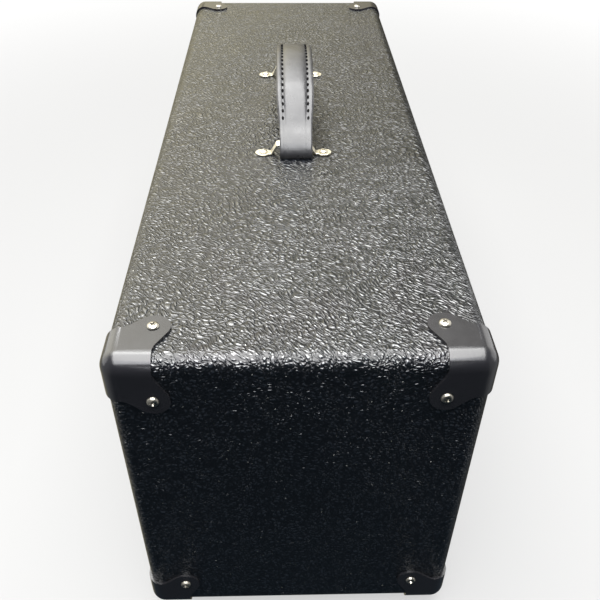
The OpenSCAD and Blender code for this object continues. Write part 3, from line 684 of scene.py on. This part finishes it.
ARCH_Z = 229.255  # height of the arch's centre
STRAP_Y = -2.2
OUTER_R = 114.9  # middle of the upper layer
INNER_R = 111.0  # middle of the layer that comes back underneath
ARCH_TURN = 43  # degrees from the top of the arch to where the strap flattens out
STRAP_T = 1.3  # half the thickness of one layer
STITCH_R = 116.05
STITCH_ROW = 11.1  # each row's distance from the strap's middle
STITCH_STEP = 6.76 / 115.9  # angle from one stitch to the next
BRACKET_X = 90.5
EAR_Y, EAR_R = 27.5, 5.7
BAR_HALF, BAR_LIFT = 2.7, 10.0


def strap_path():
    """Half of the strap's middle line: over the arch, round the bracket bar, and back underneath."""
    frames = turtle((0, ARCH_Z + OUTER_R), 0, [
        (OUTER_R * math.radians(ARCH_TURN), -ARCH_TURN, 43),
        (8.0, 17, 6),
        (4.0, 0, 3),
        (17.5, -40, 14),
        (4.8 * math.radians(155), -155, 28),
    ])
    start, way = frames[-1][0], frames[-1][1]
    turn = math.radians(40)
    goal = Vector((INNER_R * math.sin(turn), 0, ARCH_Z + INNER_R * math.cos(turn)))
    goal_way = Vector((-math.cos(turn), 0, math.sin(turn)))
    reach = (goal - start).length
    points = [goal]
    for k in range(1, 9):
        t = 1 - k / 9
        points.insert(0, start * (2 * t ** 3 - 3 * t ** 2 + 1) + goal * (3 * t ** 2 - 2 * t ** 3)
                      + way * reach * (t ** 3 - 2 * t ** 2 + t) + goal_way * reach * (t ** 3 - t ** 2))
    for k in range(1, 21):
        a = turn * (1 - k / 20)
        points.append(Vector((INNER_R * math.sin(a), 0, ARCH_Z + INNER_R * math.cos(a))))
    line = [start, *points]
    for i in range(1, len(line)):
        ahead = line[i + 1] - line[i - 1] if i + 1 < len(line) else Vector((-1, 0, 0))
        along = ahead.normalized()
        frames.append((line[i].copy(), along, Vector((0, 1, 0)), Vector((-along.z, 0, along.x))))
    return frames


def make_strap():
    """One long strip of padded vinyl, folded round both bracket bars, and its rows of stitches."""
    frames = strap_path()
    total = [0.0]
    for a, b in zip(frames, frames[1:]):
        total.append(total[-1] + (b[0] - a[0]).length)
    top_end = OUTER_R * math.radians(ARCH_TURN)
    # half of the upper side: (distance from the middle, height) over the padding, groove and edge
    shape = [(0, 1.5), (2.5, 1.48), (5, 1.36), (7, 1.08), (8.4, 0.68), (9.4, 0.24), (10.1, -0.2),
             (10.7, -0.36), (11.3, -0.16), (11.9, 0.16), (13.0, 0.34), (14.2, 0.26), (15.1, -0.12),
             (15.7, -0.75)]

    def outline(i):
        s = total[i]
        raised = 1 - ease(s, top_end - 26, top_end + 12)
        under = s > top_end + 45
        width = 16.5 - 2.3 * ease(s, top_end - 30, top_end + 14)
        width += 2.0 * ease(s, top_end + 62, top_end + 90)
        k = width / 15.8

        def relief(u, h):
            if under:
                return min(0.0, h) if u > 13 else 0.0
            if h > 0.07:
                return h * raised
            if h < -0.2 and u < 12:
                return h * max(0.25, raised)
            return h

        upper = [(u * k, STRAP_T + relief(u, h)) for u, h in shape]
        lower = [(15.8 * k, 0.0), (15.65 * k, -0.8), (15.0 * k, -1.25), (12 * k, -STRAP_T), (0, -STRAP_T)]
        half = upper + lower
        return [(-a, b) for a, b in half] + [(a, b) for a, b in reversed(half[1:-1])]

    bm = bmesh.new()
    sweep(bm, frames, outline)
    ends = [f for f in bm.faces if all(abs(v.co.x) < 1e-6 for v in f.verts)]
    bmesh.ops.delete(bm, geom=ends, context="FACES_ONLY")
    for v in bm.verts:
        if abs(v.co.x) < 2e-4:
            v.co.x = 0.0
    bmesh.ops.mirror(bm, geom=bm.verts[:] + bm.edges[:] + bm.faces[:], merge_dist=1e-6, axis="X")
    bmesh.ops.remove_doubles(bm, verts=bm.verts, dist=1e-6)
    bmesh.ops.translate(bm, verts=bm.verts, vec=(0, STRAP_Y * MM, 0))
    strap = finish_mesh(
        bm, "strap_leather", STRAP, "handle", ["handle_strap", "handle_core"], sharp=60)

    # sewing thread, lying in the grooves on both sides of the padding
    bm = bmesh.new()
    for row in (-1, 1):
        for k in range(-13, 13):
            angle = (k + 0.5) * STITCH_STEP
            made = bmesh.ops.create_uvsphere(bm, u_segments=12, v_segments=8, radius=1.0)["verts"]
            bmesh.ops.scale(bm, verts=made, vec=(1.8 * MM, 1.1 * MM, 0.8 * MM))
            bmesh.ops.rotate(bm, verts=made, cent=(0, 0, 0), matrix=Matrix.Rotation(0.1 * row, 3, "Z"))
            bmesh.ops.translate(bm, verts=made, vec=(0, 0, STITCH_R * MM))
            bmesh.ops.rotate(bm, verts=made, cent=(0, 0, 0), matrix=Matrix.Rotation(angle, 3, "Y"))
            bmesh.ops.translate(bm, verts=made, vec=(0, (STRAP_Y + row * STITCH_ROW) * MM, ARCH_Z * MM))
    finish_mesh(bm, "strap_stitches", THREAD, "handle", sharp=80)


def make_brackets():
    """Bent nickel strips: an ear each side, rising arms and the bar that the strap folds round."""
    bm = bmesh.new()
    t = 0.8
    steps = []
    for i in range(29):
        y = 33.2 - i * (33.2 - 20.1) / 28
        round_end = EAR_R ** 2 - (y - EAR_Y) ** 2
        half = math.sqrt(max(round_end, 0.3)) if y > EAR_Y else EAR_R - 2.1 * ease(24.8 - y, 0, 4.2)
        steps.append((y, t, half, 0.0, 0.0))
    bend = [(19.6, 0.95), (19.1, 1.3), (18.6, 1.85), (17.9, 2.9), (17.1, 4.3), (16.2, 5.9),
            (15.4, 7.4), (14.8, 8.5), (14.3, 9.3), (13.7, 9.8), (12.9, BAR_LIFT)]
    for n, (y, z) in enumerate(bend):
        part = ease(n, 1, len(bend) - 1)
        steps.append((y, z, 3.6 - 0.9 * ease(n, 0, 7), part, part))
    for y in (10, 5, 0):
        steps.append((y, BAR_LIFT, BAR_HALF, 1.0, 1.0))
    line = steps + [(-y, z, h, a, b) for y, z, h, a, b in reversed(steps[:-1])]
    for side in (-1, 1):
        frames, sizes = [], []
        for k, (y, z, half, part, lean) in enumerate(line):
            a, b = line[max(0, k - 1)], line[min(len(line) - 1, k + 1)]
            along = Vector((0, b[0] - a[0], b[1] - a[1])).normalized()
            tilt = math.radians(32) * lean * side
            across = Vector((math.cos(tilt), 0, -math.sin(tilt)))
            across = (across - along * across.dot(along)).normalized()
            up = along.cross(across)
            if up.z < 0:
                up = -up
            frames.append((Vector((side * (BRACKET_X + part), y, CAB_Z1 + z)), along, across, up))
            sizes.append(half)

        def outline(i):
            h, e = sizes[i], min(0.45, sizes[i] * 0.4)
            upper = [(h - e, t), (h - e * 0.3, t - e * 0.3), (h, t - e)]
            half = upper + [(a, -b) for a, b in reversed(upper)]
            return half + [(-a, b) for a, b in reversed(half)]

        sweep(bm, frames, outline)
    finish_mesh(bm, "handle_brackets_bent", NICKEL, "cabinet", ["handle_brackets"], sharp=50)
    places = [((sx * BRACKET_X, sy * 26.3, CAB_Z1 + 1.55), turned("Z", 15 + 40 * sx + 25 * sy))
              for sx in (-1, 1) for sy in (-1, 1)]
    set_screws("bracket_screws", screw_head(3.9, 2.0), places, NICKEL, ["handle_screws"])


# ---------------------------------------------------------------- front and rear

def make_cloth():
    """Cloth stretched over the baffle and turned back round its edges."""
    x, z0, z1, y = 336.2, 119.4, 268.4, -101.2
    bm = bmesh.new()
    bmesh.ops.create_grid(bm, x_segments=56, y_segments=14, size=0.5)
    bmesh.ops.scale(bm, verts=bm.verts, vec=(2 * (x - 0.3) * MM, (z1 - z0 - 0.6) * MM, 1))
    bmesh.ops.rotate(bm, verts=bm.verts, cent=(0, 0, 0), matrix=Matrix.Rotation(math.pi / 2, 3, "X"))
    bmesh.ops.translate(bm, verts=bm.verts, vec=(0, (y + 0.1) * MM, (z0 + z1) / 2 * MM))
    border = [e for e in bm.edges if len(e.link_faces) == 1]
    out = bmesh.ops.extrude_edge_only(bm, edges=border)
    back = [g for g in out["geom"] if isinstance(g, bmesh.types.BMVert)]
    bmesh.ops.translate(bm, verts=back, vec=(0, 12.4 * MM, 0))
    fold = [e for e in border if e.is_valid and len(e.link_faces) == 2]
    bmesh.ops.bevel(bm, geom=fold, offset=0.9 * MM, segments=3, profile=0.5,
                    affect="EDGES", clamp_overlap=True, material=-1)
    bmesh.ops.recalc_face_normals(bm, faces=bm.faces)
    front = max(bm.faces, key=lambda f: f.calc_area())
    if front.normal.y > 0:
        bmesh.ops.reverse_faces(bm, faces=bm.faces)
    for face in bm.faces:
        face.smooth = True
    mesh = bpy.data.meshes.new("grille_cloth_woven")
    bm.to_mesh(mesh)
    bm.free()
    mesh.materials.append(CLOTH)
    ob = bpy.data.objects.new("grille_cloth_woven", mesh)
    scene.collection.objects.link(ob)
    wall = ob.modifiers.new("thickness", "SOLIDIFY")
    wall.thickness, wall.offset = 0.8 * MM, -1
    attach(ob, "cabinet")
    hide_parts("grille_cloth")


def make_piping():
    """A round welt that runs round the front, turning its corners on a small radius."""
    x, z0, z1, y, r, turn = 332.7, 123.6, 264.4, -103.6, 2.35, 5.0
    bm = bmesh.new()
    corners = [(x - turn, z1 - turn, 90), (x - turn, z0 + turn, 0),
               (-x + turn, z0 + turn, -90), (-x + turn, z1 - turn, -180)]
    line = []
    for cx, cz, start in corners:
        for k in range(9):
            a = math.radians(start - 90 * k / 8)
            line.append(Vector((cx + turn * math.cos(a), y, cz + turn * math.sin(a))))
    loops = []
    n = len(line)
    for i, point in enumerate(line):
        along = (line[(i + 1) % n] - line[i - 1]).normalized()
        across = Vector((0, 1, 0))
        up = along.cross(across)
        made = bmesh.ops.create_circle(bm, cap_ends=False, segments=16, radius=r * MM)["verts"]
        basis = Matrix((across, up, along)).transposed().to_4x4()
        bmesh.ops.transform(bm, matrix=Matrix.Translation(point * MM) @ basis, verts=made)
        loops.append(list({e for v in made for e in v.link_edges}))
    for i in range(n):
        bmesh.ops.bridge_loops(bm, edges=loops[i] + loops[(i + 1) % n])
    finish_mesh(bm, "front_piping", PIPING, "cabinet", ["grille_piping"], sharp=60)


def fluted_knob(n, x):
    """A knob with a skirt, shallow flutes, a dished top and a white pointer line."""
    bm = bmesh.new()
    skirt = [(0, 4.5), (11.6, 4.5), (12.3, 4.7), (12.5, 5.3), (12.4, 6.3), (11.6, 6.9), (10.3, 7.15),
             (0, 7.15)]
    lathe(bm, skirt, 64, (x, FACE_Y, CTL_Z), "-Y")
    flutes = 60
    before = set(bm.verts)
    ring = bmesh.ops.create_circle(bm, cap_ends=True, segments=flutes, radius=10.15 * MM)["verts"]
    for k, v in enumerate(sorted(ring, key=lambda v: math.atan2(v.co.y, v.co.x))):
        if k % 3 == 2:
            v.co *= 0.945
    bmesh.ops.translate(bm, verts=ring, vec=(0, 0, 7.0 * MM))
    face = next(f for f in ring[0].link_faces if len(f.verts) == flutes)
    for lift, scale in ((6.2, 0.985), (5.6, 0.98), (0.9, 0.975), (0.55, 0.95)):
        out = bmesh.ops.extrude_face_region(bm, geom=[face])
        face = next(g for g in out["geom"] if isinstance(g, bmesh.types.BMFace))
        bmesh.ops.translate(bm, verts=list(face.verts), vec=(0, 0, lift * MM))
        bmesh.ops.scale(bm, verts=list(face.verts), vec=(scale, scale, 1))
    bmesh.ops.inset_region(bm, faces=[face], thickness=1.1 * MM, depth=0.0)
    bmesh.ops.inset_region(bm, faces=[face], thickness=0.5 * MM, depth=-0.35 * MM)
    made = [v for v in bm.verts if v not in before]
    place = Matrix.Translation(Vector((x, FACE_Y, CTL_Z)) * MM) @ Matrix.Rotation(math.pi / 2, 4, "X")
    bmesh.ops.transform(bm, matrix=place, verts=made)
    lathe(bm, [(0, -5.5), (2.98, -5.5), (2.98, 5), (0, 5)], 24, (x, FACE_Y, CTL_Z), "-Y")
    finish_mesh(bm, f"knob_{n}_turned", KNOB, f"knob_{n}", [f"knob_{n}"], sharp=28)
    bm = bmesh.new()
    scaled_box(bm, (x - 0.55, FACE_Y - 20.4, CTL_Z + 2.2), (x + 0.55, FACE_Y - 19.7, CTL_Z + 8.6))
    scaled_box(bm, (x - 0.6, FACE_Y - 7.0, CTL_Z + 10.2), (x + 0.6, FACE_Y - 5.2, CTL_Z + 12.45))
    soften_edges(bm, 0.12, 2)
    finish_mesh(bm, f"knob_{n}_pointer", WHITE_INLAY, f"knob_{n}")


def make_dials():
    """Printed tick marks round each knob and thin frames round the groups of controls."""
    bm = bmesh.new()
    for x in KNOB_X:
        for k in range(11):
            long_mark = k % 5 == 0
            made = scaled_box(bm, (-0.35, -0.06, 15.0), (0.35, 0.02, 18.6 if long_mark else 17.2))
            turn = Matrix.Rotation(math.radians(-150 + 30 * k), 3, "Y")
            bmesh.ops.rotate(bm, verts=made, cent=(0, 0, 0), matrix=turn)
            bmesh.ops.translate(bm, verts=made, vec=Vector((x, FACE_Y, CTL_Z)) * MM)
    z0, z1, wide = 42, 109, 0.8
    for x0, x1 in ((-322, -240), (-233, -197), (-190, 190), (205, 320)):
        for a, b in (((x0, z0), (x1, z0 + wide)), ((x0, z1 - wide), (x1, z1)),
                     ((x0, z0), (x0 + wide, z1)), ((x1 - wide, z0), (x1, z1))):
            scaled_box(bm, (a[0], FACE_Y - 0.05, a[1]), (b[0], FACE_Y + 0.02, b[1]))
    finish_mesh(bm, "panel_markings", PRINT, "cabinet")


# ---------------------------------------------------------------- build everything

make_covering()
make_caps()
make_cap_screws()
make_strap()
make_brackets()
make_cloth()
make_piping()
for number, knob_x in enumerate(KNOB_X, 1):
    fluted_knob(number, knob_x)
make_dials()

for node, material, width, slot in (
    ("rubber_feet", RUBBER, 1.2, "rubber"),
    ("rear_grille", BLACK_STEEL, 0.35, "black_steel"),
    ("rear_wall", BLACK_STEEL, 0.3, "black_steel"),
    ("control_panel", PANEL, 0.5, "panel_alu"),
    ("jack_sockets", BLACK_PLASTIC, 0.35, "black_plastic"),
    ("switch_frames", BLACK_PLASTIC, 0.35, "black_plastic"),
    ("standby_rocker", GLOSS_BLACK, 0.5, "gloss_black"),
    ("power_rocker", GLOSS_BLACK, 0.5, "gloss_black"),
    ("lamp_bezel", CHROME, 0.5, "chrome"),
    ("lamp_jewel", JEWEL, 0.3, "jewel"),
    ("button_switch", BLACK_PLASTIC, 0.35, "black_plastic"),
    ("channel_button", GREY_PLASTIC, 0.6, "grey_plastic"),
    ("mains_inlet", BLACK_PLASTIC, 0.6, "black_plastic"),
    ("fuse_holder", BLACK_PLASTIC, 0.5, "black_plastic"),
    ("fuse_cap", BLACK_PLASTIC, 0.5, "black_plastic"),
    ("selector_knob", KNOB, 0.4, "knob_black"),
    ("chassis_bolts", STEEL_SCREW, 0.5, "zinc"),
    ("foot_screws", STEEL_SCREW, 0.4, "zinc"),
    ("filter_capacitors", SLEEVE, 1.0, "can_sleeve"),
    ("valve_bases", BAKELITE, 0.8, "phenolic"),
    ("power_sockets", CERAMIC, 0.6, "ceramic"),
    ("preamp_sockets", CERAMIC, 0.6, "ceramic"),
):
    softened(node, material, width)

set_screws(
    "grille_fixings", screw_head(4.0, 2.2),
    [((sx * 329.7, 101.6, z), turned("Y", 10 + 31 * sx + z)) for sx in (-1, 1) for z in (127.0, 258.2)],
    BLACK_SCREW, ["grille_screws"],
)

for node, material in (
    ("top_panel", PLY), ("bottom_panel", PLY), ("end_panel_left", PLY), ("end_panel_right", PLY),
    ("baffle_board", PLY), ("panel_cleats", PINE), ("chassis", ZINC), ("potentiometers", ZINC),
    ("inlet_pins", BRASS), ("selector_switch", ZINC), ("mains_core", CORE_STEEL), ("mains_coil", WINDING),
    ("output_core", CORE_STEEL), ("output_coil", WINDING), ("choke", CORE_STEEL),
    ("transformer_bolts", STEEL_SCREW),
    ("power_valves", GLASS), ("preamp_valves", GLASS), ("valve_plates", PLATE_METAL),
    ("circuit_board", BOARD), ("board_pillars", BRASS), ("board_parts", PART_BODY),
):
    cad[node].data.materials.clear()
    cad[node].data.materials.append(material)


# ---------------------------------------------------------------- camera, floor and light

def set_camera():
    """Looks down along the cabinet from above its left end."""
    data = bpy.data.cameras.new("camera")
    cam = bpy.data.objects.new("camera", data)
    scene.collection.objects.link(cam)
    scene.camera = cam
    pitch, yaw, roll = math.radians(40.30), math.radians(-1.71), math.radians(0.51)
    ahead = Vector((math.cos(pitch) * math.cos(yaw), math.cos(pitch) * math.sin(yaw), -math.sin(pitch)))
    right = ahead.cross(Vector((0, 0, 1))).normalized()
    up = right.cross(ahead)
    right, up = right * math.cos(roll) + up * math.sin(roll), up * math.cos(roll) - right * math.sin(roll)
    basis = Matrix((right, up, -ahead)).transposed().to_4x4()
    cam.matrix_world = Matrix.Translation((-0.6672, 0.010, 0.5788)) @ basis
    data.sensor_width, data.lens = 36.0, 42.81
    data.shift_y = 0.044
    data.clip_start, data.clip_end = 0.01, 100
    data.dof.use_dof = False


def soft_light(name, place, aim, width, height, radiance, colour):
    """A rectangular softbox whose brightness is given as seen, and not as power."""
    data = bpy.data.lights.new(name, "AREA")
    data.shape, data.size, data.size_y = "RECTANGLE", width, height
    data.energy = radiance * math.pi * width * height
    data.color = colour
    ob = bpy.data.objects.new(name, data)
    scene.collection.objects.link(ob)
    ob.location = place
    ob.rotation_mode = "QUATERNION"
    ob.rotation_quaternion = (Vector(aim) - Vector(place)).to_track_quat("-Z", "Y")
    ob.visible_camera = False
    return ob


def set_floor():
    """A dark grey floor that glows pale as painted light; the glow gets stronger away from the cabinet."""
    bm = bmesh.new()
    bmesh.ops.create_circle(bm, cap_ends=True, segments=96, radius=14.0)
    mesh = bpy.data.meshes.new("floor")
    bm.to_mesh(mesh)
    bm.free()
    floor = bpy.data.objects.new("floor", mesh)
    scene.collection.objects.link(floor)
    f = Finish("glowing_floor", (0.060, 0.060, 0.060), 0.9)
    f.set(Specular_IOR_Level=0.0, Emission_Color=(1.0, 1.0, 1.0, 1.0))
    distance = f.node("ShaderNodeVectorMath", operation="LENGTH")
    f.feed(distance.inputs[0], f.place)
    # painted light: the floor's glow is 0.53 near the cabinet and rises to 1.0 at 2.4 m away
    f.use(Emission_Strength=f.remap(distance.outputs["Value"], 0.5, 2.4, 0.53, 1.0))
    mesh.materials.append(f.mat)
    floor.visible_glossy = False
    floor.visible_diffuse = False


def set_room():
    """A dim bluish room with lighter side walls, and behind the far end a warm bright wall that
    gets lighter upwards. The camera itself sees plain white."""
    world = bpy.data.worlds.new("studio")
    scene.world = world
    world.use_nodes = True
    tree = world.node_tree

    def node(kind, **values):
        made = tree.nodes.new(kind)
        for key, value in values.items():
            setattr(made, key, value)
        return made

    def span(value, lo, hi, to_lo=0.0, to_hi=1.0, smooth=True):
        made = node("ShaderNodeMapRange", interpolation_type="SMOOTHSTEP" if smooth else "LINEAR")
        tree.links.new(value, made.inputs["Value"])
        for key, v in (("From Min", lo), ("From Max", hi), ("To Min", to_lo), ("To Max", to_hi)):
            made.inputs[key].default_value = v
        return made.outputs["Result"]

    def blend(factor, a, b):
        made = node("ShaderNodeMix", data_type="RGBA")
        tree.links.new(factor, made.inputs[0])
        for socket, value in ((made.inputs[6], a), (made.inputs[7], b)):
            if isinstance(value, tuple):
                socket.default_value = (*value, 1)
            else:
                tree.links.new(value, socket)
        return made.outputs[2]

    way = node("ShaderNodeSeparateXYZ")
    tree.links.new(node("ShaderNodeTexCoord").outputs["Generated"], way.inputs[0])

    # the far wall: its colour by height, and brighter on the +Y side
    ramp = node("ShaderNodeValToRGB")
    tree.links.new(way.outputs["Z"], ramp.inputs[0])
    stops = ((0.0, (0.035, 0.032, 0.022)), (0.27, (0.12, 0.108, 0.068)), (0.42, (0.22, 0.207, 0.16)),
             (0.68, (0.40, 0.385, 0.34)), (0.86, (1.0, 1.0, 0.97)))
    first, last = ramp.color_ramp.elements
    first.position, last.position = stops[0][0], stops[-1][0]
    for place, _ in stops[1:-1]:
        ramp.color_ramp.elements.new(place)
    for element, (_, colour) in zip(ramp.color_ramp.elements, stops):
        element.color = (*colour, 1)
    far_wall = node("ShaderNodeVectorMath", operation="SCALE")
    tree.links.new(ramp.outputs[0], far_wall.inputs[0])
    tree.links.new(span(way.outputs["Y"], -0.3, 0.3, 2.5, 16.5, smooth=False), far_wall.inputs[3])

    aside = node("ShaderNodeMath", operation="ABSOLUTE")
    tree.links.new(way.outputs["Y"], aside.inputs[0])
    near_room = blend(span(aside.outputs[0], 0.5, 0.9), (0.035, 0.055, 0.075), (0.62, 0.63, 0.64))
    room = blend(span(way.outputs["X"], 0.05, 0.55), near_room, far_wall.outputs[0])
    seen = node("ShaderNodeLightPath").outputs["Is Camera Ray"]
    tree.links.new(blend(seen, room, (1.0, 1.0, 1.0)), tree.nodes["Background"].inputs["Color"])


def set_lamps():
    soft_light("overhead_softbox", (-0.30, 0.1, 1.9), (-0.30, 0.1, 0), 1.8, 1.8, 20.0, (1.0, 0.995, 0.985))
    soft_light("camera_side_softbox", (-1.75, 0.1, 1.9), (-1.75, 0.1, 0), 1.1, 1.8, 17.0, (0.97, 0.98, 1.0))
    for name, y in (("front_fill", -2.0), ("back_fill", 2.0)):
        soft_light(name, (0.6, y, 0.8), (0.1, 0, 0.15), 2.6, 1.5, 3.0, (1.0, 1.0, 1.0))


set_camera()
set_floor()
set_room()
set_lamps()
scene.view_settings.view_transform = "Standard"
scene.view_settings.look = "None"
